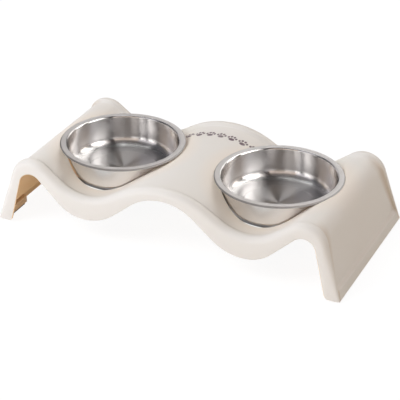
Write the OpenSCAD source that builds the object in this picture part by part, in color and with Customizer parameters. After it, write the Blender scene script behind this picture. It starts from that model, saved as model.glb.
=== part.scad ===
// A pair of round steel bowls that hang in the two dips of a moulded, wave-shaped stand.
// X runs along the stand, -Y is its front, Z is up, and the origin is on the floor under its centre.

/* [Bowls] */
// Diameter of a bowl over its rim
bowl_d = 140; // [120:1:170]
// Gap between the rims of the two bowls
bowl_gap = 48.6; // [40:1:70]
// Depth of a bowl inside, from the rim's top to its floor
bowl_depth = 35; // [28:1:42]
// Thickness of the steel sheet
bowl_t = 0.9; // [0.6:0.1:1.4]
// Width of the flat flange between the wall and the rim's roll
flange_w = 4.2; // [2:0.1:5]
// Radius of the roll that closes the rim
roll_r = 1.3; // [1:0.1:2]
// Radius where the flange turns down into the wall
neck_r = 2; // [1:0.1:3]
// How far the wall draws in from the neck to the bottom corner
wall_draft = 1; // [0.5:0.1:4]
// Radius of the corner between the wall and the floor, measured inside
corner_r = 11; // [8:1:16]
// Share of the floor's flat radius that the raised disc stamped in it has
stamp_share = 0.76; // [0.5:0.02:0.84]
// Height of that disc above the rest of the floor
stamp_h = 1; // [0.6:0.1:1.5]
// Width of the slope round that disc
stamp_slope = 2; // [1:0.5:3]

/* [Wave] */
// Height of the top surface on the hump between the bowls
hump_z = 78.4; // [76:0.2:80]
// Height of the top surface at the lowest point of each dip
dip_z = 47.7; // [42:0.5:52]
// Height of the top surface on the crest over each leg
crest_z = 77; // [76:0.2:82]
// Radius of the top surface over that crest
crest_r = 22; // [18:0.5:26]
// How far the crest's highest line lies inside the bowl's rim
crest_inset = 4.3; // [3:0.1:7]
// Angle by which the leg leans out at its foot
leg_lean = 17.1; // [14:0.1:22]
// Share of the widest possible rounding that the inner flank of a dip has
inner_round_share = 0.97; // [0.85:0.01:1]
// Share of that rounding that belongs to the hump
hump_share = 0.6; // [0.5:0.01:0.7]
// Share of the widest possible rounding that the outer flank of a dip has
outer_round_share = 0.9; // [0.8:0.01:1]

/* [Shell] */
// Wall thickness of the moulding
shell_t = 2.4; // [2:0.1:3.2]
// Distance from a bowl's rim to the front face of the stand, at the foot
rim_margin = 26; // [22:0.5:34]
// Angle by which the front and back faces lean in towards the top
face_draft = 2.4; // [0:0.1:4]
// Height of the border along the front and back edges above the surface between them
border_h = 2.8; // [2:0.1:4]
// Width of that border, from the face to its inner shoulder
border_w = 9; // [8:0.5:13]
// Width of the slope from the border down to the surface
border_slope = 6; // [5:0.5:11]
// Share of both widths that is left at the foot of a leg
foot_width_share = 0.2; // [0.15:0.05:1]
// Radius of the outer edge of the border
edge_r = 7; // [5:0.5:7.5]
// Height of the plain border along the foot of each leg
foot_border = 8; // [6:0.5:10]

/* [Skirt] */
// Height of the front skirt under the hump, below the surface
skirt_hump = 9.4; // [8:0.1:14]
// Height of the front skirt under a dip
skirt_dip = 22; // [18:0.5:26]
// Height of the front skirt under a crest
skirt_crest = 12.6; // [12:0.2:16]
// Radius of the skirt's lower edge under a crest
skirt_crest_r = 14; // [10:0.5:16]
// Width of the skirt's band at the foot of a leg
band_w = 16.6; // [14:0.1:20]
// Angle by which the inner edge of that band leans out
band_lean = 13.8; // [10:0.1:17]
// Radius of the band's inner bottom corner
band_corner = 4; // [2:0.5:4]
// Share of the widest possible rounding on the inner flank of the skirt's lower edge
skirt_inner_share = 0.93; // [0.85:0.01:1]
// Share of that rounding that belongs to the edge under the hump
skirt_hump_share = 0.5; // [0.4:0.01:0.6]
// Share of the widest possible rounding on the outer flank of the skirt's lower edge
skirt_outer_share = 0.8; // [0.7:0.01:0.9]

/* [Seats] */
// Gap between a bowl's wall and the hole it hangs in
hole_gap = 0.6; // [0.4:0.1:2]
// Gap round and under the rim where it lies on its seats
seat_gap = 0.3; // [0.2:0.1:0.5]
// Depth of the seats below the crests, so that the rims lie level with them
seat_sink = 1.9; // [1.7:0.1:3]
// Thickness of the seat let into each crest
seat_t = 3; // [2.4:0.1:4]
// Wall of that seat outside the rim
seat_wall = 1.6; // [1:0.1:2.4]
// Half of the angle round the bowl that the seat on the hump takes
hump_seat_angle = 16; // [10:1:20]
// Angle by which a crest's seat runs past each end of the round cut for the rim
seat_lap_angle = 1; // [0.5:0.5:3]

/* [Feet] */
// Height of a rubber pad below the leg
pad_h = 2.2; // [1.6:0.1:3]
// Length of a pad, along the stand's depth
pad_l = 35; // [28:1:46]
// Width of a pad
pad_w = 6; // [4:0.1:7]
// Radius of a pad's corners
pad_corner = 1.8; // [1:0.1:1.9]
// Distance from the leg's outside to a pad
pad_inset = 2; // [1.4:0.1:3]
// Distance from the rounded corner of the leg to a pad
pad_setback = 1.5; // [1:0.5:8]
// Depth of the pocket that holds a pad
pocket_d = 1.2; // [0.8:0.1:2]
// Gap between a pad and the sides of its pocket
pocket_gap = 0.15; // [0.1:0.05:0.3]
// Wall between a pad's pocket and the room inside the leg
pocket_wall = 1.2; // [0.8:0.1:2]

/* [Hidden] */
// Overrun of every cut, so that no cut ends flush with what it cuts
over = 1;
// Smoothness of the turned pieces, and steps along the arcs of the wave
$fn = 96;
arc_steps = 6;
crest_steps = 8;
edge_steps = 4;
corner_steps = 3;
bead_steps = 10;
// Where the slope of the border is sampled, as shares of its width, with the share of its height left there
slope_shares = [[0, 1], [0.25, 0.85], [0.75, 0.15], [1, 0]];
// Where the leg is sampled, from crest to foot, as shares of the height above its foot border
leg_shares = [0.6, 0.25];

// Places that follow from the sizes above
bowl_r = bowl_d / 2;
bowl_x = bowl_r + bowl_gap / 2;
half_w = bowl_r + rim_margin;
crest_x = bowl_x + bowl_r - crest_inset;
floor_z = pad_h;
seat_z = crest_z - seat_sink;
rim_under_z = seat_z + seat_gap;
wall_r = bowl_r - 2 * roll_r - flange_w;
hole_r = wall_r + hole_gap;
rim_hole_r = bowl_r + seat_gap;
skin_x = leg_x(floor_z) + border_h / cos(leg_lean);
skirt_foot_x = skin_x - band_w;
skirt_crest_z = crest_z - skirt_crest;
skirt_crest_x = skirt_foot_x - lean_reach(skirt_crest_r, skirt_crest_z - skirt_crest_r, band_lean);

// The widest sum of the two radii with which a flank can drop over a run
function widest(run, drop) = (run * run + drop * drop) / (2 * drop);

// Slope of the straight that joins an arc at the top of a flank to one at its bottom
function flank_slope(run, drop, radii) = asin(radii / norm([run, radii - drop])) - atan2(radii - drop, run);

// Height and distance out at which a leg's straight leaves the floor, from its rounded crest
function lean_reach(r, centre_z, lean) = (r + (centre_z - floor_z) * sin(lean)) / cos(lean);
function leg_x(z) = crest_x + (crest_r + (crest_z - crest_r - z) * sin(leg_lean)) / cos(leg_lean);
function band_x(z) = skirt_foot_x - (z - floor_z) * tan(band_lean);

// A point of a wave with the direction that is square to it: along x and z, then that direction
function arc_point(cx, cz, r, a, side) = [cx + side * r * sin(a), cz + r * cos(a), side * sin(a), cos(a)];

// Half of a wave from the hump out to the end of the crest's rounding
function half_wave(top, dip, crest, in_share, in_split, out_share, x_crest, r_crest, lean) =
    let (
        r_in = in_share * widest(bowl_x, top - dip),
        r_hump = r_in * in_split,
        slope_in = flank_slope(bowl_x, top - dip, r_in),
        r_out = out_share * widest(x_crest - bowl_x, crest - dip),
        slope_out = flank_slope(x_crest - bowl_x, crest - dip, r_out)
    )
    concat(
        [for (k = [0 : arc_steps]) arc_point(0, top - r_hump, r_hump, slope_in * k / arc_steps, 1)],
        [for (k = [0 : arc_steps]) dip_point(dip, r_in - r_hump, slope_in * (1 - k / arc_steps), 1)],
        [for (k = [1 : arc_steps]) dip_point(dip, r_out - r_crest, slope_out * k / arc_steps, -1)],
        [for (k = [0 : crest_steps])
            let (a = -slope_out + (90 - lean + slope_out) * k / crest_steps)
            arc_point(x_crest, crest - r_crest, r_crest, a, 1)]
    );

// A point on the rounding at the bottom of a dip, on its inner side (1) or its outer side (-1)
function dip_point(dip, r, a, side) =
    [bowl_x - side * r * sin(a), dip + r - r * cos(a), side * sin(a), cos(a)];

// The top surface and the skirt's lower edge, with matching points
top_wave = half_wave(hump_z, dip_z, crest_z, inner_round_share, hump_share, outer_round_share,
    crest_x, crest_r, leg_lean);
low_wave = half_wave(hump_z - skirt_hump, dip_z - skirt_dip, skirt_crest_z, skirt_inner_share,
    skirt_hump_share, skirt_outer_share, skirt_crest_x, skirt_crest_r, band_lean);

// Height on the leg that goes with an angle of the band's rounded corner
function corner_height(a) =
    floor_z + band_corner * (1 - sin(a)) * (leg_top - floor_z) / (band_top - floor_z);

// Heights at which the leg is cut, from the crest's rounding to its foot
leg_top = top_wave[len(top_wave) - 1][1];
band_top = low_wave[len(low_wave) - 1][1];
border_top = floor_z + foot_border;
leg_heights = concat(
    [for (s = leg_shares) border_top + border_slope + (leg_top - border_top - border_slope) * s],
    [for (s = slope_shares) border_top + border_slope * (1 - s[0])],
    [for (k = [0 : corner_steps]) corner_height(90 * k / corner_steps)]
);

// How much of the border's height the surface has at a height on the leg
function foot_rise(z) =
    z >= border_top + border_slope ? 0 :
    lookup((border_top + border_slope - z) / border_slope, [for (s = slope_shares) [s[0], 1 - s[1]]]);

// A point on the leg's surface, whose direction turns level towards the floor
function leg_point(z) =
    let (share = (leg_top - z) / (leg_top - floor_z))
    [
        leg_x(z), z,
        cos(leg_lean) * (1 - share) + share / cos(leg_lean),
        sin(leg_lean) * (1 - share)
    ];

// How much of its width the border has at a height on the outside of a leg
function width_left(z) = foot_width_share + (1 - foot_width_share) * (z - floor_z) / (crest_z - floor_z);

// The point of the band's inner edge that goes with a height on the leg, rounded at the bottom
function band_point(z) =
    let (
        share = (z - floor_z) / (leg_top - floor_z),
        low = floor_z + share * (band_top - floor_z),
        fall = max(0, band_corner + floor_z - low) / band_corner
    )
    [band_x(low) + band_corner * (1 - sqrt(max(0, 1 - fall * fall))), low];

// Every cut across half of the shell: surface point and direction, skirt point, rise of the foot border
// and how much of its width the border has
half_cuts = concat(
    [for (k = [0 : len(top_wave) - 1])
        let (p = top_wave[k], q = low_wave[k])
        [p, [q[0], q[1]], 0, p[0] > crest_x ? width_left(p[1]) : 1]],
    [for (z = leg_heights) [leg_point(z), band_point(z), foot_rise(z), width_left(z)]]
);
last = len(half_cuts) - 1;
cuts = concat(
    [for (k = [last : -1 : 1]) flipped(half_cuts[k])],
    half_cuts
);
function flipped(c) = [[-c[0][0], c[0][1], -c[0][2], c[0][3]], [-c[1][0], c[1][1]], c[2], c[3]];

// How far out the drafted face lies at a height
function face_y(z) = half_w - (z - floor_z) * tan(face_draft);

// A point of a cut: h square to the surface, inset from the face, side -1 in front and 1 at the back
function cut_point(c, h, inset, side) =
    let (z = c[0][1] + c[0][3] * h)
    [c[0][0] + c[0][2] * h, side * (face_y(z) - inset), z];

// The skirt's lower edge on a cut
function skirt_point(c, inset, side) = [c[1][0], side * (face_y(c[1][1]) - inset), c[1][1]];

// One side of a cut, from the skirt's edge to the surface, at a depth under the outside
function side_line(c, depth, side) = concat(
    [skirt_point(c, depth, side)],
    [for (k = [0 : edge_steps])
        let (a = 90 * k / edge_steps, r = edge_r - depth)
        cut_point(c, border_h - edge_r + r * sin(a), depth + r * (1 - cos(a)) * c[3], side)],
    [for (s = slope_shares)
        let (
            h = border_h * (s[1] + (1 - s[1]) * c[2]) - depth,
            inset = border_w + border_slope * s[0]
        )
        cut_point(c, h, depth + (inset - depth) * c[3], side)]
);

function reversed(v) = [for (k = [len(v) - 1 : -1 : 0]) v[k]];
function skin_line(c, depth) = concat(side_line(c, depth, -1), reversed(side_line(c, depth, 1)));

line_n = len(skin_line(cuts[0], 0));
ring_n = 2 * line_n;
shell_points = [for (c = cuts) each concat(skin_line(c, 0), reversed(skin_line(c, shell_t)))];
shell_faces = concat(
    [for (i = [0 : len(cuts) - 2]) for (j = [0 : ring_n - 1])
        let (a = i * ring_n + j, b = i * ring_n + (j + 1) % ring_n)
        each [[a, b, b + ring_n], [a, b + ring_n, a + ring_n]]],
    [for (j = [0 : line_n - 2]) each end_faces(0, j, false)],
    [for (j = [0 : line_n - 2]) each end_faces((len(cuts) - 1) * ring_n, j, true)]
);

// The two triangles that close an end of the shell between its outside and its inside
function end_faces(first, j, far) =
    let (a = first + j, b = a + 1, c = first + ring_n - 1 - j, d = c - 1)
    far ? [[a, d, c], [a, b, d]] : [[a, c, d], [a, d, b]];

// Places of the feet
pad_x = skin_x - pad_inset - pad_w / 2;
block_y = half_w - edge_r;
pad_y = block_y - pad_setback - pad_l / 2;
block_in = pad_x - pad_w / 2 - pocket_wall;
block_out = skin_x - shell_t / 2;
block_len = pad_setback + pad_l + pocket_wall;

// A flat pad with rounded corners
module rounded_pad(w, l, r, h) {
    linear_extrude(h) union() {
        square([w, l - 2 * r], center = true);
        square([w - 2 * r, l], center = true);
        for (sx = [-1, 1]) for (sy = [-1, 1])
            translate([sx * (w / 2 - r), sy * (l / 2 - r)]) circle(r);
    }
}

// The block inside a leg that a pad is let into, with its outer side within the wall
module foot_block() {
    translate([0, block_y, 0]) rotate([90, 0, 0]) linear_extrude(block_len)
        polygon([
            [block_in, floor_z],
            [block_out, floor_z],
            [block_out - foot_border * tan(leg_lean), floor_z + foot_border],
            [block_in, floor_z + foot_border],
        ]);
}

// Where the round cut for a rim leaves the crest, and the height of the hump beside the bowl
seat_start_x = crest_x - sqrt(crest_r * crest_r - (crest_r - seat_sink) * (crest_r - seat_sink));
crest_seat_angle = acos((seat_start_x - bowl_x) / rim_hole_r) + seat_lap_angle;
hump_r = hump_share * inner_round_share * widest(bowl_x, hump_z - dip_z);
hump_seat_x = bowl_x - hole_r * cos(hump_seat_angle);
hump_seat_low = hump_z - hump_r + sqrt(hump_r * hump_r - hump_seat_x * hump_seat_x) - shell_t / 2;

// A stretch of a ring round the right bowl, as far as angle to each side of the way that turn points
module ring_stretch(turn, angle, outer_r, low, high) {
    translate([bowl_x, 0, 0]) rotate(turn - angle) rotate_extrude(angle = 2 * angle)
        translate([hole_r - over, low]) square([outer_r - hole_r + over, high - low]);
}

// All that lies under the middle of the right half's wall, between the bowl's front and back
module under_wave() {
    translate([0, bowl_r, 0]) rotate([90, 0, 0]) linear_extrude(bowl_d)
        polygon(concat(
            [for (p = top_wave) [p[0] - p[2] * shell_t / 2, p[1] - p[3] * shell_t / 2]],
            [[top_wave[len(top_wave) - 1][0], floor_z], [0, floor_z]]
        ));
}

// The seats of the right bowl: one let into the crest, one standing on the hump
module seats() {
    intersection() {
        ring_stretch(0, crest_seat_angle, rim_hole_r + seat_wall, seat_z - seat_t, crest_z);
        under_wave();
    }
    ring_stretch(180, hump_seat_angle, rim_hole_r, hump_seat_low, seat_z);
}

module stand_shell() {
    color("antiquewhite") difference() {
        union() {
            polyhedron(points = shell_points, faces = shell_faces);
            for (mx = [0, 1]) mirror([mx, 0, 0]) {
                seats();
                for (my = [0, 1]) mirror([0, my, 0]) foot_block();
            }
        }
        for (side = [-1, 1]) translate([side * bowl_x, 0, 0]) {
            cylinder(r = hole_r, h = crest_z + border_h + over);
            translate([0, 0, seat_z]) cylinder(r = rim_hole_r, h = border_h + over);
        }
        for (sx = [-1, 1]) for (sy = [-1, 1]) translate([sx * pad_x, sy * pad_y, floor_z - over])
            rounded_pad(
                pad_w + 2 * pocket_gap, pad_l + 2 * pocket_gap, pad_corner + pocket_gap, pocket_d + over
            );
    }
}

// Points of an arc in the outline of a turned piece
function turn_arc(cx, cz, r, from, to) =
    [for (k = [0 : bead_steps])
        let (a = from + (to - from) * k / bead_steps)
        [cx + r * cos(a), cz + r * sin(a)]];

// Heights and radii of a bowl, from the underside of its flange
flange_top = rim_under_z + 2 * roll_r;
roll_z = rim_under_z + roll_r;
inner_floor_z = flange_top - bowl_depth;
foot_r = wall_r - wall_draft;
floor_r = foot_r - bowl_t - corner_r;
stamp_r = stamp_share * floor_r;

module bowl() {
    inside_neck = wall_r - bowl_t;
    roll_start = -180 - asin((roll_r - bowl_t) / roll_r);
    rotate_extrude() polygon(concat(
        // Outside, from the axis over the stamped disc and up the wall
        [[0, inner_floor_z + stamp_h - bowl_t], [stamp_r, inner_floor_z + stamp_h - bowl_t]],
        [[stamp_r + stamp_slope, inner_floor_z - bowl_t]],
        turn_arc(floor_r, inner_floor_z + corner_r, corner_r + bowl_t, -90, 0),
        turn_arc(wall_r + neck_r - bowl_t, flange_top - neck_r, neck_r - bowl_t, 180, 90),
        // Round the rim's roll, and back down the inside
        turn_arc(bowl_r - roll_r, roll_z, roll_r, roll_start, 90),
        turn_arc(inside_neck + neck_r, flange_top - neck_r, neck_r, 90, 180),
        turn_arc(floor_r, inner_floor_z + corner_r, corner_r, 0, -90),
        [[stamp_r + stamp_slope, inner_floor_z], [stamp_r, inner_floor_z + stamp_h]],
        [[0, inner_floor_z + stamp_h]]
    ));
}

module bowl_left() {
    color("silver") translate([-bowl_x, 0, 0]) bowl();
}

module bowl_right() {
    color("silver") translate([bowl_x, 0, 0]) bowl();
}

// A rubber pad, from the floor up into its pocket
module foot(sx, sy) {
    color("dimgray") translate([sx * pad_x, sy * pad_y, 0])
        rounded_pad(pad_w, pad_l, pad_corner, pad_h + pocket_d);
}

module foot_front_left() {
    foot(-1, -1);
}

module foot_front_right() {
    foot(1, -1);
}

module foot_back_left() {
    foot(-1, 1);
}

module foot_back_right() {
    foot(1, 1);
}

stand_shell();
bowl_left();
bowl_right();
foot_front_left();
foot_front_right();
foot_back_left();
foot_back_right();
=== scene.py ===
"""The looks of the double pet bowl: a cream moulded stand, polished steel bowls and black rubber pads."""

import math
from collections import namedtuple

import bmesh
import bpy
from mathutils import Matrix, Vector

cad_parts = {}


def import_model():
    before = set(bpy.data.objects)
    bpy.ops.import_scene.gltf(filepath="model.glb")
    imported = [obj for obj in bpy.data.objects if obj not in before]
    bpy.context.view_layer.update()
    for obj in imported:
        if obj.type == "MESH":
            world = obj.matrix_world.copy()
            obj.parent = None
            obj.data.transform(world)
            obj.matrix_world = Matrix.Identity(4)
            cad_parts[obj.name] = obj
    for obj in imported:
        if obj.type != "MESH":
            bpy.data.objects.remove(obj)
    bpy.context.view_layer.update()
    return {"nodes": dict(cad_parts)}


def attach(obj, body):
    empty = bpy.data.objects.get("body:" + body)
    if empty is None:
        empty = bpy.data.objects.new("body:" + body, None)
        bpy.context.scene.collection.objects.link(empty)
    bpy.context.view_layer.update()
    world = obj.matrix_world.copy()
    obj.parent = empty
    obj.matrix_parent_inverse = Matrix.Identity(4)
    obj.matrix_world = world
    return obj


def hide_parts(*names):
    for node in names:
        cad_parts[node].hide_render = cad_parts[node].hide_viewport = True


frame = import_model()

MM = 0.001

# Sizes of the bowls, as in the part's source, in millimetres
BOWL_R, BOWL_X, BOWL_DEPTH, SHEET = 70.0, 94.3, 35.0, 0.9
FLANGE, ROLL_R, NECK_R, WALL_DRAFT, CORNER_R = 4.2, 1.3, 2.0, 1.0, 11.0
STAMP_SHARE, STAMP_H, STAMP_SLOPE = 0.76, 1.0, 2.0

# Sizes of the wave
HUMP_Z, DIP_Z, CREST_Z = 78.4, 47.7, 77.0
CREST_R, CREST_X, LEG_LEAN = 22.0, 160.0, math.radians(17.1)
INNER_SHARE, HUMP_SHARE, OUTER_SHARE = 0.97, 0.6, 0.9

# Sizes of the shell and its raised border
SHELL_T, HALF_W, DRAFT = 2.4, 96.0, math.radians(2.4)
BORDER_H, BORDER_W, SLOPE_W, EDGE_R, FOOT_BORDER = 2.8, 9.0, 6.0, 7.0, 8.0
FOOT_WIDTH_SHARE = 0.2

# Sizes of the skirts
SKIRT_HUMP, SKIRT_DIP, SKIRT_CREST, SKIRT_CREST_R = 9.4, 22.0, 12.6, 14.0
BAND_W, BAND_LEAN, BAND_CORNER = 16.6, math.radians(13.8), 4.0
SKIRT_INNER_SHARE, SKIRT_HUMP_SHARE, SKIRT_OUTER_SHARE = 0.93, 0.5, 0.8

# Sizes of the seats
HOLE_GAP, SEAT_GAP, SEAT_SINK, SEAT_T, SEAT_WALL = 0.6, 0.3, 1.9, 3.0, 1.6
HUMP_SEAT_ANGLE, SEAT_LAP = math.radians(16), math.radians(1)

# Sizes of the pads and their pockets
PAD_H, PAD_L, PAD_W, PAD_CORNER, PAD_INSET, PAD_SETBACK = 2.2, 35.0, 6.0, 1.8, 2.0, 1.5
POCKET_D, POCKET_GAP, POCKET_WALL = 1.2, 0.15, 1.2

# What follows from these sizes
FLOOR_Z = PAD_H
SEAT_Z = CREST_Z - SEAT_SINK
RIM_UNDER_Z = SEAT_Z + SEAT_GAP
WALL_R = BOWL_R - 2 * ROLL_R - FLANGE
HOLE_R = WALL_R + HOLE_GAP
RIM_HOLE_R = BOWL_R + SEAT_GAP
BORDER_TOP = FLOOR_Z + FOOT_BORDER
WALL_FOOT_R = WALL_R - WALL_DRAFT
FLAT_R = WALL_FOOT_R - SHEET - CORNER_R

# Steps of the fine mesh, which follows the same curves as the part's source
ARC_N, STRAIGHT_N, CREST_N, LEG_N, CORNER_N, FOOT_N = 16, 5, 20, 10, 7, 3
EDGE_N, SLOPE_N, FIELD_N, LIP_N, SECTOR_N, PAD_CORNER_N = 8, 10, 26, 4, 40, 6
TURN_N, STAMP_N, CORNER_TURN_N, ROLL_N = 256, 12, 20, 20
NECK_OUT_N, NECK_IN_N, WALL_OUT_N, WALL_IN_N = 8, 12, 6, 8

# Roundings that only the fine mesh has: the skirts' lower edges and the holes' upper edges
LIP_R, LIP_LEAST, LIP_FADE = 0.8, 0.02, 2.0
HOLE_EDGE_R = 0.4

# How much wider than the source's straight slope the rounded slope of the stamped disc is
STAMP_EASE = 1.0

# Radii of the rings that the flat of the disc is divided into
DISC_RINGS = (0, 0.5, 2, 6, 14, 24, 32)

# How far a cut runs past what it cuts
OVER = 1.0

# Largest angle between two faces that are shaded as one surface, in degrees
STAND_SMOOTH, BOWL_SMOOTH = 32, 50


def smooth(t):
    t = min(1.0, max(0.0, t))
    return t * t * (3 - 2 * t)


# The wave
def widest(run, drop):
    """Sum of the two radii of a wave's flank when nothing straight is left between them."""
    return (run * run + drop * drop) / (2 * drop)


def flank_slope(run, drop, radii):
    return math.asin(radii / math.hypot(run, radii - drop)) - math.atan2(radii - drop, run)


def arc_point(cx, cz, r, a, side):
    return (cx + side * r * math.sin(a), cz + r * math.cos(a), side * math.sin(a), math.cos(a))


def dip_point(dip, r, a, side):
    return (BOWL_X - side * r * math.sin(a), dip + r - r * math.cos(a), side * math.sin(a), math.cos(a))


def between(p, q, n):
    return [tuple(a + (b - a) * k / n for a, b in zip(p, q)) for k in range(1, n)]


def half_wave(top, dip, crest, in_share, in_split, out_share, x_crest, r_crest, lean):
    """From the hump out to the end of the crest's rounding: x, z and the direction square to the surface."""
    r_in = in_share * widest(BOWL_X, top - dip)
    r_hump = r_in * in_split
    slope_in = flank_slope(BOWL_X, top - dip, r_in)
    r_out = out_share * widest(x_crest - BOWL_X, crest - dip)
    slope_out = flank_slope(x_crest - BOWL_X, crest - dip, r_out)
    hump = [arc_point(0, top - r_hump, r_hump, slope_in * k / ARC_N, 1) for k in range(ARC_N + 1)]
    inner = [dip_point(dip, r_in - r_hump, slope_in * (1 - k / ARC_N), 1) for k in range(ARC_N + 1)]
    outer = [dip_point(dip, r_out - r_crest, slope_out * k / ARC_N, -1) for k in range(1, ARC_N + 1)]
    turn = math.pi / 2 - lean + slope_out
    over = [arc_point(x_crest, crest - r_crest, r_crest, -slope_out + turn * k / CREST_N, 1)
            for k in range(CREST_N + 1)]
    return (hump + between(hump[-1], inner[0], STRAIGHT_N) + inner + outer
            + between(outer[-1], over[0], STRAIGHT_N) + over)


def lean_reach(r, fall, lean):
    """How far out from a circle's centre its leaning tangent is, at a fall below the centre."""
    return (r + fall * math.sin(lean)) / math.cos(lean)


def leg_x(z):
    return CREST_X + lean_reach(CREST_R, CREST_Z - CREST_R - z, LEG_LEAN)


SKIN_X = leg_x(FLOOR_Z) + BORDER_H / math.cos(LEG_LEAN)
SKIRT_FOOT_X = SKIN_X - BAND_W
SKIRT_CREST_Z = CREST_Z - SKIRT_CREST
SKIRT_CREST_X = SKIRT_FOOT_X - lean_reach(SKIRT_CREST_R, SKIRT_CREST_Z - SKIRT_CREST_R - FLOOR_Z, BAND_LEAN)

TOP = half_wave(HUMP_Z, DIP_Z, CREST_Z, INNER_SHARE, HUMP_SHARE, OUTER_SHARE, CREST_X, CREST_R, LEG_LEAN)
LOW = half_wave(HUMP_Z - SKIRT_HUMP, DIP_Z - SKIRT_DIP, SKIRT_CREST_Z, SKIRT_INNER_SHARE, SKIRT_HUMP_SHARE,
                SKIRT_OUTER_SHARE, SKIRT_CREST_X, SKIRT_CREST_R, BAND_LEAN)
LEG_TOP, BAND_TOP = TOP[-1][1], LOW[-1][1]


def surface_z(x):
    """Height of the top surface between the hump and the crest."""
    x = min(abs(x), CREST_X)
    for (x0, z0, *_), (x1, z1, *_) in zip(TOP, TOP[1:]):
        if x0 <= x <= x1:
            return z0 + (z1 - z0) * (x - x0) / (x1 - x0)
    return TOP[0][1]


def width_left(z):
    """How much of its width the border has at a height on the outside of a leg."""
    return FOOT_WIDTH_SHARE + (1 - FOOT_WIDTH_SHARE) * (z - FLOOR_Z) / (CREST_Z - FLOOR_Z)


def leg_point(z):
    share = (LEG_TOP - z) / (LEG_TOP - FLOOR_Z)
    return (leg_x(z), z, math.cos(LEG_LEAN) * (1 - share) + share / math.cos(LEG_LEAN),
            math.sin(LEG_LEAN) * (1 - share))


def band_point(z):
    """The skirt's inner edge beside a height on the leg, with the band's rounded corner at its foot."""
    low = FLOOR_Z + (z - FLOOR_Z) / (LEG_TOP - FLOOR_Z) * (BAND_TOP - FLOOR_Z)
    fall = max(0.0, BAND_CORNER + FLOOR_Z - low) / BAND_CORNER
    x = SKIRT_FOOT_X - (low - FLOOR_Z) * math.tan(BAND_LEAN)
    return (x + BAND_CORNER * (1 - math.sqrt(max(0.0, 1 - fall * fall))), low)


def leg_heights():
    """Heights of the cuts down a leg: its plain part, the slope, the foot border and the band's corner."""
    slope_top = BORDER_TOP + SLOPE_W
    heights = [LEG_TOP + (slope_top - LEG_TOP) * k / LEG_N for k in range(1, LEG_N + 1)]
    heights += [slope_top - SLOPE_W * k / SLOPE_N for k in range(1, SLOPE_N + 1)]
    stretch = (LEG_TOP - FLOOR_Z) / (BAND_TOP - FLOOR_Z)
    corner = [FLOOR_Z + BAND_CORNER * (1 - math.sin(math.pi / 2 * k / CORNER_N)) * stretch
              for k in range(CORNER_N + 1)]
    heights += [BORDER_TOP + (corner[0] - BORDER_TOP) * k / FOOT_N for k in range(1, FOOT_N)]
    return heights + corner


def low_directions(points):
    """The direction square to the skirt's lower edge, into the skirt, at each of its points."""
    found = []
    for k in range(len(points)):
        a, b = points[max(0, k - 1)], points[min(len(points) - 1, k + 1)]
        dx, dz = b[0] - a[0], b[1] - a[1]
        length = math.hypot(dx, dz)
        found.append((-dz / length, dx / length))
    return found


# Cuts across the stand
Cut = namedtuple("Cut", "surface skirt into rise width")


def half_cuts():
    """Every cut across the right half of the stand: a point of the surface and one of the skirt's lower edge,
    the direction into the skirt, and how far the foot border rises and the width is left, as shares."""
    heights = leg_heights()
    tops = TOP + [leg_point(z) for z in heights]
    lows = [(p[0], p[1]) for p in LOW] + [band_point(z) for z in heights]
    rises = [0.0] * len(TOP) + [smooth((BORDER_TOP + SLOPE_W - z) / SLOPE_W) for z in heights]
    widths = [width_left(p[1]) if p[0] > CREST_X else 1.0 for p in tops]
    return [Cut(*values) for values in zip(tops, lows, low_directions(lows), rises, widths)]


def flipped(cut):
    """The same cut on the left half."""
    x, z, nx, nz = cut.surface
    lx, lz = cut.skirt
    dx, dz = cut.into
    return cut._replace(surface=(-x, z, -nx, nz), skirt=(-lx, lz), into=(-dx, dz))


def face_y(z):
    """Distance of the front face from the middle of the stand, at a height."""
    return HALF_W - (z - FLOOR_Z) * math.tan(DRAFT)


def cut_point(cut, h, inset, side):
    """A point h above the surface and inset from the face, in front for side -1 and behind for side 1."""
    x, z, nx, nz = cut.surface
    z += nz * h
    return (x + nx * h, side * (face_y(z) - inset), z)


def skirt_lip(cut, side, inner):
    """The rounded lower edge of the skirt, outer half or inner half."""
    (lx, lz), (dx, dz) = cut.skirt, cut.into
    r = LIP_R * min(1.0, max(LIP_LEAST, (lz - FLOOR_Z) / LIP_FADE))
    points = []
    for k in range(LIP_N + 1):
        b = math.pi / 2 * k / LIP_N
        h = r * (1 - math.cos(b))
        inset = SHELL_T - r * (1 - math.sin(b)) if inner else r * (1 - math.sin(b))
        z = lz + dz * h
        points.append((lx + dx * h, side * (face_y(z) - inset), z))
    return points


def side_line(cut, depth, side):
    """From the skirt's lower edge over the rounded edge and the border to the field, depth under the skin."""
    line = skirt_lip(cut, side, depth > 0)
    r = EDGE_R - depth
    for k in range(EDGE_N + 1):
        a = math.pi / 2 * k / EDGE_N
        h = BORDER_H - EDGE_R + r * math.sin(a)
        line.append(cut_point(cut, h, depth + r * (1 - math.cos(a)) * cut.width, side))
    for k in range(SLOPE_N + 1):
        left = 1 - smooth(k / SLOPE_N)
        h = BORDER_H * (left + (1 - left) * cut.rise) - depth
        inset = BORDER_W + SLOPE_W * k / SLOPE_N
        line.append(cut_point(cut, h, depth + (inset - depth) * cut.width, side))
    return line


def skin_line(cut, depth):
    front, back = side_line(cut, depth, -1), side_line(cut, depth, 1)
    return front + between(front[-1], back[-1], FIELD_N) + back[::-1]


# Mesh helpers
def new_object(name, bm):
    bmesh.ops.recalc_face_normals(bm, faces=bm.faces)
    mesh = bpy.data.meshes.new(name)
    bm.to_mesh(mesh)
    bm.free()
    obj = bpy.data.objects.new(name, mesh)
    bpy.context.scene.collection.objects.link(obj)
    return obj


def ring_of(bm, points):
    """New vertices at points that are given in millimetres."""
    return [bm.verts.new(Vector(p) * MM) for p in points]


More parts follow.
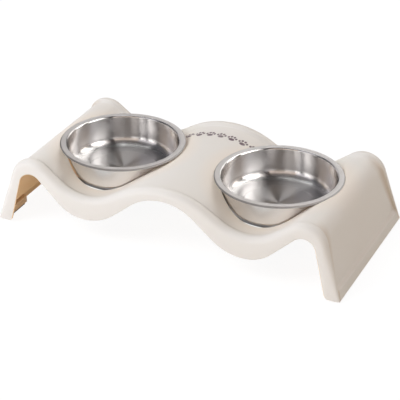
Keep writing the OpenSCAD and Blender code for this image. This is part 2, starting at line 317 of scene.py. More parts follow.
def bridge(bm, low, high):
    """Faces between two closed rings, either of which may be a single point."""
    n = max(len(low), len(high))
    for k in range(n):
        after = (k + 1) % n
        corners = (low[k % len(low)], low[after % len(low)], high[after % len(high)], high[k % len(high)])
        bm.faces.new(list(dict.fromkeys(corners)))


def circle(cx, r, z_of):
    """Points round a vertical axis at x = cx, each at the height that z_of gives for its x."""
    points = []
    for k in range(TURN_N):
        a = 2 * math.pi * k / TURN_N
        x = cx + r * math.cos(a)
        points.append((x, r * math.sin(a), z_of(x)))
    return points


def prism(name, outline, lift):
    """A closed solid over an outline, moved by lift to its other end."""
    bm = bmesh.new()
    low = ring_of(bm, outline)
    high = ring_of(bm, [tuple(a + b for a, b in zip(p, lift)) for p in outline])
    bm.faces.new(low)
    bm.faces.new(high[::-1])
    bridge(bm, low, high)
    return new_object(name, bm)


def boolean(obj, other, operation):
    modifier = obj.modifiers.new("cut", "BOOLEAN")
    modifier.operation = operation
    modifier.solver = "MANIFOLD"
    modifier.object = other
    bpy.context.view_layer.update()
    made = bpy.data.meshes.new_from_object(obj.evaluated_get(bpy.context.evaluated_depsgraph_get()))
    obj.modifiers.clear()
    obj.data = made
    bpy.data.objects.remove(other)


def shade(obj, degrees):
    obj.data.shade_smooth()
    obj.data.set_sharp_from_angle(angle=math.radians(degrees))


# The stand
PAD_X = SKIN_X - PAD_INSET - PAD_W / 2
BLOCK_Y = HALF_W - EDGE_R
PAD_Y = BLOCK_Y - PAD_SETBACK - PAD_L / 2


def swept_shell():
    """The skin and, one wall thickness under it, the inside skin, swept from one leg to the other."""
    half = half_cuts()
    bm = bmesh.new()
    rings = [ring_of(bm, skin_line(cut, 0) + skin_line(cut, SHELL_T)[::-1])
             for cut in [flipped(c) for c in half[:0:-1]] + half]
    for a, b in zip(rings, rings[1:]):
        bridge(bm, a, b)
    n = len(rings[0])
    for ring in (rings[0], rings[-1]):
        for j in range(n // 2 - 1):
            bm.faces.new((ring[j], ring[j + 1], ring[n - 2 - j], ring[n - 1 - j]))
    return new_object("stand_moulding", bm)


def ring_sector(cx, turn, half_angle, r0, r1, low, high):
    """A part of a ring about a bowl's axis, with its middle at the angle turn."""
    angles = [turn - half_angle + 2 * half_angle * k / SECTOR_N for k in range(SECTOR_N + 1)]
    outline = [(cx + r1 * math.cos(a), r1 * math.sin(a), low) for a in angles]
    outline += [(cx + r0 * math.cos(a), r0 * math.sin(a), low) for a in reversed(angles)]
    return prism("sector", outline, (0, 0, high - low))


def crest_seat(sx):
    """The seat let into a crest, cut off in the middle of the shell's wall."""
    start_x = CREST_X - math.sqrt(CREST_R ** 2 - (CREST_R - SEAT_SINK) ** 2)
    half_angle = math.acos((start_x - BOWL_X) / RIM_HOLE_R) + SEAT_LAP
    seat = ring_sector(sx * BOWL_X, 0 if sx > 0 else math.pi, half_angle, HOLE_R - OVER,
                       RIM_HOLE_R + SEAT_WALL, SEAT_Z - SEAT_T, CREST_Z)
    middle = [(p[0] - p[2] * SHELL_T / 2, p[1] - p[3] * SHELL_T / 2) for p in TOP]
    middle += [(TOP[-1][0], FLOOR_Z), (0, FLOOR_Z)]
    under = prism("under", [(sx * x, -BOWL_R, z) for x, z in middle], (0, 2 * BOWL_R, 0))
    boolean(seat, under, "INTERSECT")
    return seat


def hump_seat(sx):
    hump_r = HUMP_SHARE * INNER_SHARE * widest(BOWL_X, HUMP_Z - DIP_Z)
    inner_x = BOWL_X - HOLE_R * math.cos(HUMP_SEAT_ANGLE)
    low = HUMP_Z - hump_r + math.sqrt(hump_r ** 2 - inner_x ** 2) - SHELL_T / 2
    return ring_sector(sx * BOWL_X, math.pi if sx > 0 else 0, HUMP_SEAT_ANGLE, HOLE_R - OVER, RIM_HOLE_R,
                       low, SEAT_Z)


def foot_block(sx, sy):
    """The block at one end of a leg that holds a pad."""
    inner = PAD_X - PAD_W / 2 - POCKET_WALL
    outer = SKIN_X - SHELL_T / 2
    length = PAD_SETBACK + PAD_L + POCKET_WALL
    corners = [(inner, FLOOR_Z), (outer, FLOOR_Z), (outer - FOOT_BORDER * math.tan(LEG_LEAN), BORDER_TOP),
               (inner, BORDER_TOP)]
    return prism("block", [(sx * x, sy * BLOCK_Y, z) for x, z in corners], (0, -sy * length, 0))


def hole_cutter(cx):
    """What the round hole takes away: a cylinder that flares into the rounding of the hole's upper edge."""
    flare = [math.pi / 2 * k / LIP_N for k in range(LIP_N + 1)]
    levels = [(HOLE_R + HOLE_EDGE_R * (1 - math.cos(b)), HOLE_EDGE_R * (math.sin(b) - 1)) for b in flare]
    levels += [(HOLE_R + HOLE_EDGE_R, CREST_Z)]
    bm = bmesh.new()
    rings = [ring_of(bm, circle(cx, HOLE_R, lambda x: 0.0))]
    rings += [ring_of(bm, circle(cx, r, lambda x: surface_z(x) + lift)) for r, lift in levels]
    for low, high in zip(rings, rings[1:]):
        bridge(bm, low, high)
    for ring, z in ((rings[0], 0.0), (rings[-1], surface_z(cx) + CREST_Z)):
        bridge(bm, ring, ring_of(bm, [(cx, 0.0, z)]))
    return new_object("hole", bm)


def rim_clearance(cx):
    """What the round cut for the rim takes away above the seats."""
    return prism("rim", circle(cx, RIM_HOLE_R, lambda x: SEAT_Z), (0, 0, BORDER_H + 2 * OVER))


def pad_pocket(sx, sy):
    w, l, r = PAD_W + 2 * POCKET_GAP, PAD_L + 2 * POCKET_GAP, PAD_CORNER + POCKET_GAP
    outline = []
    for qx, qy, start in ((1, 1, 0), (-1, 1, 90), (-1, -1, 180), (1, -1, 270)):
        for k in range(PAD_CORNER_N + 1):
            a = math.radians(start + 90 * k / PAD_CORNER_N)
            outline.append((sx * PAD_X + qx * (w / 2 - r) + r * math.cos(a),
                            sy * PAD_Y + qy * (l / 2 - r) + r * math.sin(a), FLOOR_Z - OVER))
    return prism("pocket", outline, (0, 0, POCKET_D + OVER))


def stand():
    shell = swept_shell()
    for sx in (1, -1):
        boolean(shell, crest_seat(sx), "UNION")
        boolean(shell, hump_seat(sx), "UNION")
        for sy in (1, -1):
            boolean(shell, foot_block(sx, sy), "UNION")
    for sx in (1, -1):
        boolean(shell, hole_cutter(sx * BOWL_X), "DIFFERENCE")
        boolean(shell, rim_clearance(sx * BOWL_X), "DIFFERENCE")
        for sy in (1, -1):
            boolean(shell, pad_pocket(sx, sy), "DIFFERENCE")
    shade(shell, STAND_SMOOTH)
    return shell


# The bowls
def turned(name, profile, cx):
    """A solid turned round a vertical axis. Its profile starts and ends on the axis, outside first."""
    bm = bmesh.new()
    rings = [ring_of(bm, circle(cx, r, lambda x: z) if r else [(cx, 0, z)]) for r, z in profile]
    for a, b in zip(rings, rings[1:]):
        bridge(bm, a, b)
    return new_object(name, bm)


def arc(cx, cz, r, start, end, n):
    """Points of an arc from one angle in degrees to another."""
    angles = [math.radians(start + (end - start) * k / n) for k in range(n + 1)]
    return [(cx + r * math.cos(a), cz + r * math.sin(a)) for a in angles]


def bowl_profile():
    top = RIM_UNDER_Z + 2 * ROLL_R
    floor = top - BOWL_DEPTH
    corner_z, neck_z = floor + CORNER_R, top - NECK_R
    steps = [k / STAMP_N for k in range(STAMP_N + 1)]
    stamp = [(r, STAMP_H) for r in DISC_RINGS]
    stamp_r, slope_w = STAMP_SHARE * FLAT_R, STAMP_SLOPE + STAMP_EASE
    stamp += [(stamp_r + slope_w * t, STAMP_H * (1 - smooth(t))) for t in steps]
    roll_start = -180 - math.degrees(math.asin((ROLL_R - SHEET) / ROLL_R))
    line = [(r, floor - SHEET + h) for r, h in stamp]
    line += arc(FLAT_R, corner_z, CORNER_R + SHEET, -90, 0, CORNER_TURN_N)
    line += between((WALL_FOOT_R, corner_z), (WALL_R, neck_z), WALL_OUT_N)
    line += arc(WALL_R + NECK_R - SHEET, neck_z, NECK_R - SHEET, 180, 90, NECK_OUT_N)
    line += arc(BOWL_R - ROLL_R, RIM_UNDER_Z + ROLL_R, ROLL_R, roll_start, 90, ROLL_N)
    line += arc(WALL_R - SHEET + NECK_R, neck_z, NECK_R, 90, 180, NECK_IN_N)
    line += between((WALL_R - SHEET, neck_z), (WALL_FOOT_R - SHEET, corner_z), WALL_IN_N)
    line += arc(FLAT_R, corner_z, CORNER_R, 0, -90, CORNER_TURN_N)
    return line + [(r, floor + h) for r, h in reversed(stamp)]


# Node helpers
PLAIN_ROUGHNESS = 0.5

# Places of the colour sockets on a mix node
MIX_A, MIX_B, MIX_RESULT = 6, 7, 2


def new_material(name):
    mat = bpy.data.materials.new(name)
    mat.use_nodes = True
    return mat, mat.node_tree


def calc(tree, operation, *values):
    """The result of a math node on numbers and sockets."""
    made = tree.nodes.new("ShaderNodeMath")
    made.operation = operation
    for socket, value in zip(made.inputs, values):
        if isinstance(value, (int, float)):
            socket.default_value = value
        else:
            tree.links.new(value, socket)
    return made.outputs[0]


def times(tree, a, b):
    return calc(tree, "MULTIPLY", a, b)


def larger(tree, a, b):
    return calc(tree, "MAXIMUM", a, b)


def size_of(tree, value):
    return calc(tree, "ABSOLUTE", value)


def squares(tree, a, b):
    return calc(tree, "ADD", times(tree, a, a), times(tree, b, b))


def distance(tree, a, b):
    return calc(tree, "SQRT", squares(tree, a, b))


def ramp(tree, value, start, end, low, high):
    """Low where the value is at start or under it, high from end on, and straight between."""
    made = tree.nodes.new("ShaderNodeMapRange")
    for name, number in (("From Min", start), ("From Max", end), ("To Min", low), ("To Max", high)):
        made.inputs[name].default_value = number
    tree.links.new(value, made.inputs["Value"])
    return made.outputs["Result"]


def rise(tree, value, start, end):
    return ramp(tree, value, start, end, 0.0, 1.0)


def fade(tree, value, start, end):
    return ramp(tree, value, start, end, 1.0, 0.0)


def noise(tree, vector, waves, detail, rough=PLAIN_ROUGHNESS):
    made = tree.nodes.new("ShaderNodeTexNoise")
    made.inputs["Scale"].default_value = waves
    made.inputs["Detail"].default_value = detail
    made.inputs["Roughness"].default_value = rough
    tree.links.new(vector, made.inputs["Vector"])
    return made.outputs["Fac"]


def blended(tree, share, a, b):
    """Colour a where the share is zero, colour b where it is one."""
    made = tree.nodes.new("ShaderNodeMix")
    made.data_type = "RGBA"
    tree.links.new(share, made.inputs["Factor"])
    for socket, value in ((made.inputs[MIX_A], a), (made.inputs[MIX_B], b)):
        if isinstance(value, tuple):
            socket.default_value = (*value, 1.0)
        else:
            tree.links.new(value, socket)
    return made.outputs[MIX_RESULT]


def bump(tree, height, depth, strength):
    """The normal of a relief whose depth is in millimetres."""
    made = tree.nodes.new("ShaderNodeBump")
    made.inputs["Distance"].default_value = depth * MM
    made.inputs["Strength"].default_value = strength
    tree.links.new(height, made.inputs["Height"])
    return made.outputs["Normal"]


def parts_of(tree, vector):
    split = tree.nodes.new("ShaderNodeSeparateXYZ")
    tree.links.new(vector, split.inputs[0])
    return split.outputs[0], split.outputs[1], split.outputs[2]


def place(tree):
    """Where a point of the object is, in millimetres, as a vector."""
    made = tree.nodes.new("ShaderNodeVectorMath")
    made.operation = "SCALE"
    made.inputs["Scale"].default_value = 1 / MM
    tree.links.new(tree.nodes.new("ShaderNodeTexCoord").outputs["Object"], made.inputs[0])
    return made.outputs[0]


# The plastic. A noise is waves per millimetre, detail and any roughness, and a relief is depth and strength
CREAM, CREAM_DEEP = (0.80, 0.758, 0.708), (0.775, 0.720, 0.660)
# Colours for rubbed wear with a painted highlight on convex edges, and for painted shade in creases and on
# the legs' slopes
CREAM_WEAR_AND_HIGHLIGHT, CREAM_PAINTED_SHADE = (0.85, 0.81, 0.755), (0.66, 0.56, 0.46)
# Painted warm bounce light near the bowls and on the faces inside the stand, and painted shade on the blocks
# that hold the pads
CREAM_BOWL_BOUNCE_LIGHT, CREAM_INSIDE_BOUNCE_LIGHT, CREAM_BLOCK_SHADE = (0.86, 0.755, 0.65), (0.97, 0.71, 0.445), (0.74, 0.52, 0.32)
PRINT = (0.17, 0.115, 0.13)
CLOUD_NOISE, RUB_NOISE, GRAIN_NOISE, GRAIN_RELIEF = (0.009, 2.0), (0.06, 4.0), (1.6, 2.0), (0.05, 0.35)
PLASTIC_ROUGH, PLASTIC_SPECULAR, EDGE_POLISH = (0.40, 0.50), 0.45, 0.12
# How far out from the holes the painted warm light by the bowls reaches, in millimetres
BOWL_BOUNCE_REACH = 26.0

# Values of a noise, or of the pointiness of a surface, between which a colour comes in
CLOUD_RANGE, RUB_RANGE, PRINT_RANGE = (0.3, 0.8), (0.35, 0.65), (0.35, 0.5)
EDGE_RANGE, CREASE_SHADE_RANGE = (0.51, 0.56), (0.46, 0.49)

# How strong a colour or a painted shade gets, and the share of it that the rubbing noise leaves, which only
# breaks up the painted crease shade
CLOUD_MOST, EDGE_MOST, CREASE_SHADE_MOST, LEG_SLOPE_SHADE_MOST, FOOT_SLOPE_SHADE_MOST = 0.5, 0.5, 0.9, 0.9, 0.3
EDGE_LEFT, CREASE_SHADE_LEFT, PRINT_LEFT = 0.3, 0.7, 0.82

# The row of paw prints, in millimetres: a heel and two pairs of toes, as centre and half widths
PAW_STEP, PAW_COUNT, PAW_Y = 13.2, 7, 57.5
PAW_HEEL = (0.0, -2.5, 3.4, 2.7)
PAW_TOES = ((1.75, 3.3, 1.35, 2.0), (4.5, 0.9, 1.25, 1.9))
PAW_BLUR = (0.85, 1.15)

# What tells the inside, where warm bounce light is painted, and the pad blocks, where shade is painted: parts
# of the normal, the share of the wall in front, and margins in millimetres
DOWN_RANGE, LEG_OUTWARD, SKIRT_OUTWARD, BLOCK_OUTWARD = (-0.28, -0.10), -0.3, -0.95, 0.5
BEHIND_SHARE = 0.7
BLOCK_MARGIN_Z, BLOCK_MARGIN_Y = 0.3, 0.1

# Where the painted shade on a leg's slopes starts, past the crest, and how many slopes past the border it
# ends
LEG_START, LEG_FADE = 4.0, 3


def ellipse(tree, u, v, cu, cv, ru, rv):
    """Below one inside an ellipse."""
    across = calc(tree, "DIVIDE", calc(tree, "SUBTRACT", u, cu), ru)
    along = calc(tree, "DIVIDE", calc(tree, "SUBTRACT", v, cv), rv)
    return squares(tree, across, along)


def paw_row(tree, x, y, z):
    """One where the row of small paw prints is printed on the hump, by its back border."""
    u = calc(tree, "WRAP", x, PAW_STEP / 2, -PAW_STEP / 2)
    v = calc(tree, "SUBTRACT", y, PAW_Y)
    shape = ellipse(tree, u, v, *PAW_HEEL)
    for cu, cv, ru, rv in PAW_TOES:
        for side in (-1, 1):
            shape = calc(tree, "MINIMUM", shape, ellipse(tree, u, v, side * cu, cv, ru, rv))
    within = calc(tree, "LESS_THAN", size_of(tree, x), PAW_STEP * PAW_COUNT / 2)
    above = calc(tree, "GREATER_THAN", z, (DIP_Z + HUMP_Z) / 2)
    return times(tree, times(tree, fade(tree, shape, *PAW_BLUR), within), above)


def depth_of(tree, y, z):
    """How far a point lies behind the front face or the back face, whichever is nearer."""
    face = calc(tree, "MULTIPLY_ADD", calc(tree, "SUBTRACT", z, FLOOR_Z), -math.tan(DRAFT), HALF_W)
    return calc(tree, "SUBTRACT", face, size_of(tree, y))


def inside(tree, x, y, z, normal):
    """One on the faces that look into the stand, its underside and the inner faces of legs and skirts, for
    painted warm bounce light.
    Then one on the blocks that hold the pads, for painted shade."""
    normal_x, normal_y, normal_z = parts_of(tree, normal)
    outward = times(tree, calc(tree, "SIGN", x), normal_x)
    behind = calc(tree, "GREATER_THAN", depth_of(tree, y, z), SHELL_T * BEHIND_SHARE)
    under = times(tree, fade(tree, normal_z, *DOWN_RANGE), behind)
    leg = times(tree, calc(tree, "LESS_THAN", outward, LEG_OUTWARD),
                calc(tree, "GREATER_THAN", size_of(tree, x), BOWL_X + BOWL_R))
    skirt = calc(tree, "LESS_THAN", times(tree, calc(tree, "SIGN", y), normal_y), SKIRT_OUTWARD)
    # The pad blocks' mask, for painted shade
    block = times(tree, calc(tree, "LESS_THAN", outward, BLOCK_OUTWARD),
                  calc(tree, "LESS_THAN", z, BORDER_TOP + BLOCK_MARGIN_Z))
    block = times(tree, block, calc(tree, "LESS_THAN", size_of(tree, y), BLOCK_Y + BLOCK_MARGIN_Y))
    return larger(tree, larger(tree, under, leg), skirt), block


def leg_slope_shade(tree, x, y, z):
    """One on the slope from the raised border down to the plain field on the outside of a leg, at its sides
    and above its foot border, where shade is painted.
    """
    height = calc(tree, "SUBTRACT", z, FLOOR_Z)
    width = calc(tree, "MULTIPLY_ADD", height, (1 - FOOT_WIDTH_SHARE) / (CREST_Z - FLOOR_Z), FOOT_WIDTH_SHARE)
    inset = calc(tree, "DIVIDE", depth_of(tree, y, z), width)
    sides = times(tree, rise(tree, inset, BORDER_W, BORDER_W + SLOPE_W / 2),
                  fade(tree, inset, BORDER_W + SLOPE_W, BORDER_W + LEG_FADE * SLOPE_W))
    middle = FOOT_BORDER + SLOPE_W / 2
    foot = times(tree, ramp(tree, height, FOOT_BORDER, middle, 0.0, FOOT_SLOPE_SHADE_MOST),
                 fade(tree, height, middle, FOOT_BORDER + SLOPE_W))
    foot = times(tree, foot, rise(tree, inset, BORDER_W, BORDER_W + SLOPE_W))
    outside = rise(tree, size_of(tree, x), CREST_X + LEG_START, CREST_X + CREST_R)
    return times(tree, larger(tree, sides, foot), outside)


def plastic_material():
    """Fine-grained cream plastic with painted light and shade: painted warm bounce light inside and by the
    bowls, painted shade in creases, on the legs' slopes and on the pad blocks, and rubbed wear with a painted
    highlight on edges.
    """
    mat, tree = new_material("stand_plastic")
    shader = tree.nodes["Principled BSDF"]
    point = place(tree)
    x, y, z = parts_of(tree, point)
    geometry = tree.nodes.new("ShaderNodeNewGeometry")
    pointiness = geometry.outputs["Pointiness"]
    cloud = noise(tree, point, *CLOUD_NOISE)
    rub = noise(tree, point, *RUB_NOISE)
    from_bowl = distance(tree, calc(tree, "SUBTRACT", size_of(tree, x), BOWL_X), y)
    # Masks for painted warm bounce light on the inside faces and painted shade on the pad blocks
    within, block = inside(tree, x, y, z, geometry.outputs["Normal"])
    # Rubbed wear and a painted highlight on convex edges
    edge = times(tree, ramp(tree, pointiness, *EDGE_RANGE, 0.0, EDGE_MOST),
                 ramp(tree, rub, *RUB_RANGE, EDGE_LEFT, 1.0))
    # Painted shade in concave creases and on the legs' slopes, made uneven by the rubbing noise
    crease_shade = times(tree, ramp(tree, pointiness, *CREASE_SHADE_RANGE, CREASE_SHADE_MOST, 0.0),
                   ramp(tree, rub, *RUB_RANGE, CREASE_SHADE_LEFT, 1.0))
    crease_shade = larger(tree, crease_shade, times(tree, leg_slope_shade(tree, x, y, z), LEG_SLOPE_SHADE_MOST))
    printed = times(tree, paw_row(tree, x, y, z), ramp(tree, rub, *PRINT_RANGE, PRINT_LEFT, 1.0))
    colour = blended(tree, ramp(tree, cloud, *CLOUD_RANGE, 0.0, CLOUD_MOST), CREAM, CREAM_DEEP)
    # Painted warm light by the bowls and inside, painted shade on the blocks and in creases, then wear with a
    # painted highlight on edges, then the print
    for share, over in ((fade(tree, from_bowl, HOLE_R, HOLE_R + BOWL_BOUNCE_REACH), CREAM_BOWL_BOUNCE_LIGHT),
                        (within, CREAM_INSIDE_BOUNCE_LIGHT), (block, CREAM_BLOCK_SHADE), (crease_shade, CREAM_PAINTED_SHADE),
                        (edge, CREAM_WEAR_AND_HIGHLIGHT), (printed, PRINT)):
        colour = blended(tree, share, colour, over)
    rough = calc(tree, "SUBTRACT", ramp(tree, rub, 0.0, 1.0, *PLASTIC_ROUGH), times(tree, edge, EDGE_POLISH))
    grain = noise(tree, point, *GRAIN_NOISE)
    tree.links.new(colour, shader.inputs["Base Color"])
    tree.links.new(rough, shader.inputs["Roughness"])
    tree.links.new(bump(tree, grain, *GRAIN_RELIEF), shader.inputs["Normal"])
    shader.inputs["Specular IOR Level"].default_value = PLASTIC_SPECULAR
    return mat


# The steel, in the same units
STEEL_CLEAN, STEEL_SMEARED = (0.90, 0.89, 0.885), (0.86, 0.85, 0.845)
# Darker tints that paint dimmer reflections on the bowl's floor and its roll
STEEL_FLOOR_PAINTED_DARK, STEEL_ROLL_PAINTED_DARK = (0.60, 0.59, 0.59), (0.60, 0.59, 0.59)
WALL_ROUGH, FLOOR_ROUGH, FLANGE_ROUGH, ROUGH_SPREAD = 0.18, 0.34, 0.95, 0.02
STEEL_BRUSHING, BRUSHING_TURN = 1.0, 0.25
RING_NOISE, RING_LENGTH, RING_RELIEF, SMEAR_NOISE = (2.6, 3.0, 0.6), 0.6, (0.004, 0.2), (0.045, 4.0)
RING_RANGE, SMEAR_RANGE, TINT_RANGE = (0.3, 0.7), (0.3, 0.7), (0.35, 0.7)


def steel_material(name, cx):
    """Sheet steel polished round its axis: the brushing spreads a reflection across itself, so up and down
    the wall and in and out on the floor. The flange and the roll are satin. The floor and the roll have a
    darker tint, a painted dimming of their reflections."""
    mat, tree = new_material(name)
    shader = tree.nodes["Principled BSDF"]
    point = place(tree)
    x, y, z = parts_of(tree, point)
    from_axis = calc(tree, "SUBTRACT", x, cx)
    radius = distance(tree, from_axis, y)
    turn = times(tree, calc(tree, "ARCTAN2", y, from_axis), RING_LENGTH)
    around = tree.nodes.new("ShaderNodeCombineXYZ")
    for socket, value in zip(around.inputs, (radius, turn, z)):
        tree.links.new(value, socket)
    rings = noise(tree, around.outputs[0], *RING_NOISE)
    smear = noise(tree, point, *SMEAR_NOISE)
    flange = rise(tree, radius, WALL_R, WALL_R + NECK_R / 2)
    on_floor = fade(tree, radius, FLAT_R, FLAT_R + CORNER_R)
    on_roll = rise(tree, radius, BOWL_R - ROLL_R, BOWL_R - ROLL_R / 2)
    rough = calc(tree, "ADD", ramp(tree, rings, *RING_RANGE, -ROUGH_SPREAD, ROUGH_SPREAD),
                 ramp(tree, smear, *SMEAR_RANGE, WALL_ROUGH - ROUGH_SPREAD, WALL_ROUGH + ROUGH_SPREAD))
    for share, other in ((flange, FLANGE_ROUGH), (on_floor, FLOOR_ROUGH)):
        rough = calc(tree, "MULTIPLY_ADD", share, other - WALL_ROUGH, rough)
    tint = blended(tree, rise(tree, smear, *TINT_RANGE), STEEL_CLEAN, STEEL_SMEARED)
    # The floor and the roll get the darker tints: a painted dimming of their reflections
    tint = blended(tree, on_floor, tint, STEEL_FLOOR_PAINTED_DARK)
    tint = blended(tree, on_roll, tint, STEEL_ROLL_PAINTED_DARK)
    tangent = tree.nodes.new("ShaderNodeTangent")
    tangent.direction_type = "RADIAL"
    tangent.axis = "Z"
    tree.links.new(tint, shader.inputs["Base Color"])
    tree.links.new(rough, shader.inputs["Roughness"])
    tree.links.new(bump(tree, rings, *RING_RELIEF), shader.inputs["Normal"])
    tree.links.new(ramp(tree, flange, 0.0, 1.0, STEEL_BRUSHING, 0.0), shader.inputs["Anisotropic"])
    tree.links.new(tangent.outputs[0], shader.inputs["Tangent"])
    shader.inputs["Metallic"].default_value = 1.0
    shader.inputs["Anisotropic Rotation"].default_value = BRUSHING_TURN
    return mat


# The rubber, in the same units
RUBBER_DARK, RUBBER_PALE = (0.012, 0.012, 0.012), (0.028, 0.027, 0.026)
RUBBER_ROUGH, RUBBER_NOISE, RUBBER_RELIEF = (0.7, 0.9), (0.9, 3.0), (0.1, 0.4)


def rubber_material():
    mat, tree = new_material("pad_rubber")
    shader = tree.nodes["Principled BSDF"]
    grain = noise(tree, place(tree), *RUBBER_NOISE)
    tree.links.new(blended(tree, grain, RUBBER_DARK, RUBBER_PALE), shader.inputs["Base Color"])
    tree.links.new(ramp(tree, grain, 0.0, 1.0, *RUBBER_ROUGH), shader.inputs["Roughness"])
    tree.links.new(bump(tree, grain, *RUBBER_RELIEF), shader.inputs["Normal"])
    return mat


# The pieces
def dress(obj, mat):
    obj.data.materials.clear()
    obj.data.materials.append(mat)


shell = stand()
dress(shell, plastic_material())
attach(shell, "stand")
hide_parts("stand_shell")

for side, sx in (("left", -1), ("right", 1)):
    bowl = turned("steel_bowl_" + side, bowl_profile(), sx * BOWL_X)
    shade(bowl, BOWL_SMOOTH)
    dress(bowl, steel_material("bowl_steel_" + side, sx * BOWL_X))
    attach(bowl, side + "_bowl")
    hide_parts("bowl_" + side)

rubber = rubber_material()
for end in ("front", "back"):
    for side in ("left", "right"):
        dress(frame["nodes"]["foot_" + end + "_" + side], rubber)

# The stage, with its lengths in metres
FLOOR_HALF, FLOOR_COLOUR = 6.0, (0.78, 0.77, 0.75)
FLOOR_GLOW, FLOOR_MIRRORED, FLOOR_SEEN = 0.92, 0.50, (0.12, 0.12, 0.12)
SHADOW_REACH, SHADOW_RANGE = 0.15, (0.15, 0.75)
FLOOR_WARMTH, FLOOR_WARM_STRENGTH = (1.0, 0.90, 0.72), 0.37
FILL_COLOUR, FILL_STRENGTH = (1.0, 0.87, 0.79), 0.345
WHITE = (1.0, 1.0, 1.0)
DIRECT_RAYS = ("Is Camera Ray", "Is Glossy Ray", "Is Transmission Ray")

# How far outside the bowls' axes the floor starts to throw back warm light, in millimetres like the part
WARM_START = 20.0

# Soft square lamps, each at an azimuth and an elevation, with its power in red, green and blue
STAGE_CENTRE, LAMP_REACH, LAMP_SIZE = Vector((0, 0, 0.05)), 2.0, 1.0
LAMPS = (("key", -40, 45, (26.6, 28.6, 29.2)),
         ("front", -40, 15, (0.0, 0.6, 3.4)),
         ("back", 180, 45, (10.2, 10.4, 10.8)))

# The studio that the steel mirrors, as cards, each with two azimuths, two elevations and a brightness
CARD_REACH, CARD_STEP = 1.6, 5
WALL_LOW, DOOR_TOP, WALL_HIGH, CEILING_HIGH = -2, 36, 58, 85
CARDS = (("dark_corner", 178, 222, WALL_LOW, WALL_HIGH, (0.03, 0.03, 0.03)),
         ("window_far", 150, 178, WALL_LOW, WALL_HIGH, (1.40, 1.36, 1.32)),
         ("window_bar", 141, 150, WALL_LOW, WALL_HIGH, (0.06, 0.06, 0.06)),
         ("window_side", 120, 141, WALL_LOW, WALL_HIGH, (2.90, 2.82, 2.74)),
         ("pillar", 103, 120, WALL_LOW, WALL_HIGH, (0.02, 0.02, 0.02)),
         ("window_main", 80, 103, WALL_LOW, WALL_HIGH, (3.50, 3.41, 3.33)),
         ("curtain", 66, 80, WALL_LOW, WALL_HIGH, (1.60, 1.55, 1.50)),
         ("frame", 57, 66, WALL_LOW, WALL_HIGH, (0.35, 0.32, 0.30)),
         ("door_edge", 46, 57, WALL_LOW, WALL_HIGH, (0.03, 0.02, 0.02)),
         ("door", -10, 46, WALL_LOW, DOOR_TOP, (0.84, 0.70, 0.60)),
         ("wall_grey", -50, -10, WALL_LOW, DOOR_TOP, (0.84, 0.81, 0.84)),
         ("wall_top", -50, 46, DOOR_TOP, WALL_HIGH, (0.12, 0.11, 0.11)),
         ("wall_dim", -114, -50, WALL_LOW, WALL_HIGH, (0.08, 0.08, 0.09)),
         ("wall_lit", -138, -114, WALL_LOW, WALL_HIGH, (0.60, 0.57, 0.58)),
         ("softbox", -150, -95, WALL_HIGH, CEILING_HIGH, (2.20, 2.20, 2.20)),
         ("ceiling_back", 110, 210, WALL_HIGH, CEILING_HIGH, (0.12, 0.12, 0.12)),
         ("ceiling_front", -95, 110, WALL_HIGH, CEILING_HIGH, (0.04, 0.04, 0.04)))

# The camera, as solved from the rims and the corners of the stand, with its turns in degrees
CAMERA_PLACE, CAMERA_TILT, CAMERA_TURN = (0.59924, -1.25961, 0.80595), 60.74, 25.42
CAMERA_LENS, CAMERA_SENSOR = 129.81, 36.0


def seen_by(tree, rays):
    """One for the named kinds of rays and zero for all others."""
    path = tree.nodes.new("ShaderNodeLightPath")
    total = path.outputs[rays[0]]
    for name in rays[1:]:
        total = larger(tree, total, path.outputs[name])
    return total


def shader_node(tree, kind, colour, strength=None):
    """A plain shader. Its strength, where it has one, is a number or a socket."""
    made = tree.nodes.new(kind)
    made.inputs["Color"].default_value = (*colour, 1.0)
    if isinstance(strength, (int, float)):
        made.inputs["Strength"].default_value = strength
    elif strength is not None:
        tree.links.new(strength, made.inputs["Strength"])
    return made.outputs[0]


def joined(tree, kind, *sockets):
    """An add shader or a mix shader over the sockets given."""
    made = tree.nodes.new(kind)
    for target, socket in zip(made.inputs, sockets):
        tree.links.new(socket, target)
    return made.outputs[0]


def end_tree(tree, kind, socket):
    tree.links.new(socket, tree.nodes.new(kind).inputs["Surface"])


def floor():
    """White with a soft shadow where it is seen, and a plain matt floor for the light that it throws back."""
    bm = bmesh.new()
    bmesh.ops.create_grid(bm, x_segments=1, y_segments=1, size=FLOOR_HALF)
    obj = new_object("floor", bm)
    mat, tree = new_material("floor")
    tree.nodes.clear()
    open_sky = tree.nodes.new("ShaderNodeAmbientOcclusion")
    open_sky.inputs["Distance"].default_value = SHADOW_REACH
    mirrored = ramp(tree, open_sky.outputs["AO"], *SHADOW_RANGE, 0.0, FLOOR_MIRRORED)
    direct = times(tree, seen_by(tree, ("Is Camera Ray",)), FLOOR_GLOW)
    seen = joined(tree, "ShaderNodeAddShader", shader_node(tree, "ShaderNodeBsdfDiffuse", FLOOR_SEEN),
                  shader_node(tree, "ShaderNodeEmission", WHITE, larger(tree, direct, mirrored)))
    x, y, z = parts_of(tree, place(tree))
    out_x = rise(tree, size_of(tree, x), BOWL_X + WARM_START, BOWL_X + BOWL_R)
    out_y = rise(tree, size_of(tree, y), BOWL_R, HALF_W)
    warm = times(tree, larger(tree, out_x, out_y), FLOOR_WARM_STRENGTH)
    thrown = joined(tree, "ShaderNodeAddShader", shader_node(tree, "ShaderNodeBsdfDiffuse", FLOOR_COLOUR),
                    shader_node(tree, "ShaderNodeEmission", FLOOR_WARMTH, warm))
    either = joined(tree, "ShaderNodeMixShader", seen_by(tree, DIRECT_RAYS), thrown, seen)
    end_tree(tree, "ShaderNodeOutputMaterial", either)
    dress(obj, mat)


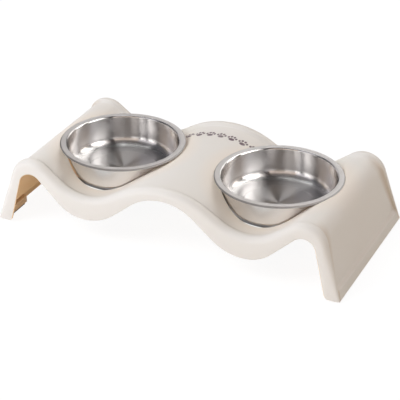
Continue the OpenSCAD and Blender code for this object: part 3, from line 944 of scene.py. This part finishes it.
def world():
    made = bpy.data.worlds.new("studio")
    made.use_nodes = True
    tree = made.node_tree
    tree.nodes.clear()
    fill = shader_node(tree, "ShaderNodeBackground", FILL_COLOUR, FILL_STRENGTH)
    white = shader_node(tree, "ShaderNodeBackground", WHITE, 1.0)
    either = joined(tree, "ShaderNodeMixShader", seen_by(tree, DIRECT_RAYS), fill, white)
    end_tree(tree, "ShaderNodeOutputWorld", either)
    bpy.context.scene.world = made


def towards(azimuth, elevation):
    """Direction from the stage's centre: azimuth 0 is the front, and 90 is the right."""
    a, e = math.radians(azimuth), math.radians(elevation)
    return Vector((math.sin(a) * math.cos(e), -math.cos(a) * math.cos(e), math.sin(e)))


def lamp(name, azimuth, elevation, power):
    data = bpy.data.lights.new(name, "AREA")
    strongest = max(power)
    data.energy = strongest
    data.color = [value / strongest for value in power]
    data.size = LAMP_SIZE
    obj = bpy.data.objects.new(name, data)
    obj.location = STAGE_CENTRE + LAMP_REACH * towards(azimuth, elevation)
    obj.rotation_euler = (STAGE_CENTRE - obj.location).to_track_quat("-Z", "Y").to_euler()
    obj.visible_glossy = False
    bpy.context.scene.collection.objects.link(obj)


def card(name, az_from, az_to, low, high, colour):
    """A piece of a sphere round the stage, which glows for mirrored rays and for no others."""
    across = max(1, round((az_to - az_from) / CARD_STEP))
    up = max(1, round((high - low) / CARD_STEP))
    azimuths = [az_from + (az_to - az_from) * i / across for i in range(across + 1)]
    elevations = [low + (high - low) * j / up for j in range(up + 1)]
    bm = bmesh.new()
    rows = [[bm.verts.new(STAGE_CENTRE + CARD_REACH * towards(azimuth, elevation)) for azimuth in azimuths]
            for elevation in elevations]
    for a, b in zip(rows, rows[1:]):
        for i in range(across):
            bm.faces.new((a[i], a[i + 1], b[i + 1], b[i]))
    obj = new_object("card_" + name, bm)
    mat, tree = new_material("card_" + name)
    tree.nodes.clear()
    end_tree(tree, "ShaderNodeOutputMaterial", shader_node(tree, "ShaderNodeEmission", colour, 1.0))
    dress(obj, mat)
    obj.visible_camera = False
    obj.visible_diffuse = False
    obj.visible_transmission = False
    obj.visible_shadow = False


def camera():
    data = bpy.data.cameras.new("camera")
    data.sensor_width = CAMERA_SENSOR
    data.lens = CAMERA_LENS
    obj = bpy.data.objects.new("camera", data)
    obj.location = CAMERA_PLACE
    obj.rotation_euler = (math.radians(CAMERA_TILT), 0.0, math.radians(CAMERA_TURN))
    bpy.context.scene.collection.objects.link(obj)
    bpy.context.scene.camera = obj


floor()
world()
for values in LAMPS:
    lamp(*values)
for values in CARDS:
    card(*values)
camera()
bpy.context.scene.view_settings.view_transform = "Standard"
